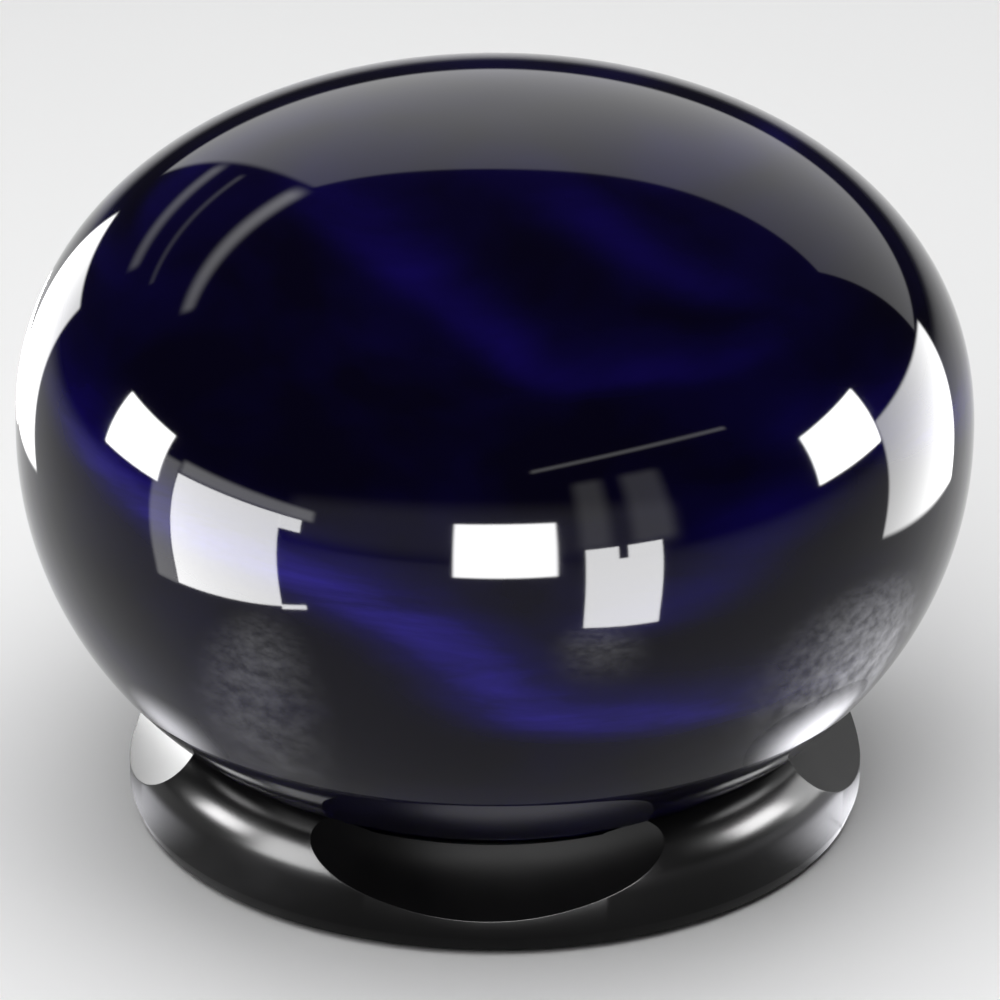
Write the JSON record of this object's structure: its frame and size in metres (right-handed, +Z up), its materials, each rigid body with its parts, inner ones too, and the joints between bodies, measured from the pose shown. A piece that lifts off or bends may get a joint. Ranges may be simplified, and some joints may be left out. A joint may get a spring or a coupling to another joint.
{
  "type": "plasma ball",
  "caption": "Desktop plasma ball: a flattened dark glass globe with indigo swirls on a low round gloss base with ground facets and a rear switch.",
  "frame": {"origin": "centre of the underside, on the surface that the feet stand on, below the globe's vertical axis", "axes": "+Z up along the globe's axis; -Y to the front facet; +Y to the rear facet with the power inlet and the switch; +X to the right seen from the front"},
  "size_m": [0.1502, 0.1502, 0.117],
  "materials": {
    "globe_glass": "smoked, mirror gloss, indigo swirl",
    "inner_glass": "clear",
    "base_plastic": "gloss",
    "cover_plastic": "fine texture",
    "foot_rubber": "matt",
    "pad_silicone": "matt",
    "lead_silicone": "satin",
    "steel_screw": "zinc plated",
    "steel_wool": "fine wire",
    "inlet_steel": "nickel plated",
    "board_laminate": "solder mask",
    "ferrite": "ground",
    "bobbin_plastic": "moulded",
    "copper_winding": "enamelled wire",
    "winding_tape": "polyester tape",
    "sink_aluminium": "plain",
    "package_epoxy": "moulded",
    "capacitor_sleeve": "shrink sleeve",
    "film_case": "dipped",
    "resistor_body": "lacquered",
    "capsule_metal": "satin",
    "tongue_plastic": "moulded",
    "switch_metal": "tin plated",
    "knob_plastic": "moulded"
  },
  "bodies": {
    "root": {"glass_globe": "globe_glass", "electrode_glass": "inner_glass", "exhaust_tip": "inner_glass", "conductive_wool": "steel_wool", "hv_rod": "steel_screw", "hv_lead": "lead_silicone", "stem_bung": "pad_silicone", "seat_pad": "pad_silicone", "base_ring": "base_plastic", "bottom_cover": "cover_plastic", "rubber_feet": "foot_rubber", "cover_screws": "steel_screw", "board_screws": "steel_screw", "circuit_board": "board_laminate", "core_halves": "ferrite", "transformer_bobbin": "bobbin_plastic", "primary_winding": "copper_winding", "hv_winding": "winding_tape", "heat_sink": "sink_aluminium", "power_transistor": "package_epoxy", "transistor_screw": "steel_screw", "film_capacitor": "film_case", "driver_chip": "package_epoxy", "resistors": "resistor_body", "microphone": "capsule_metal", "inlet_shell": "inlet_steel", "inlet_tongue": "tongue_plastic", "switch_body": "switch_metal", "bus_capacitor": "capacitor_sleeve", "input_capacitor": "capacitor_sleeve"},
    "switch_slider": {"switch_knob": "knob_plastic"}
  },
  "joints": [
    {"name": "switch_slide", "type": "slide", "parent": "root", "child": "switch_slider", "axis": [1, 0, 0], "range_m": [0, 0.004]}
  ]
}
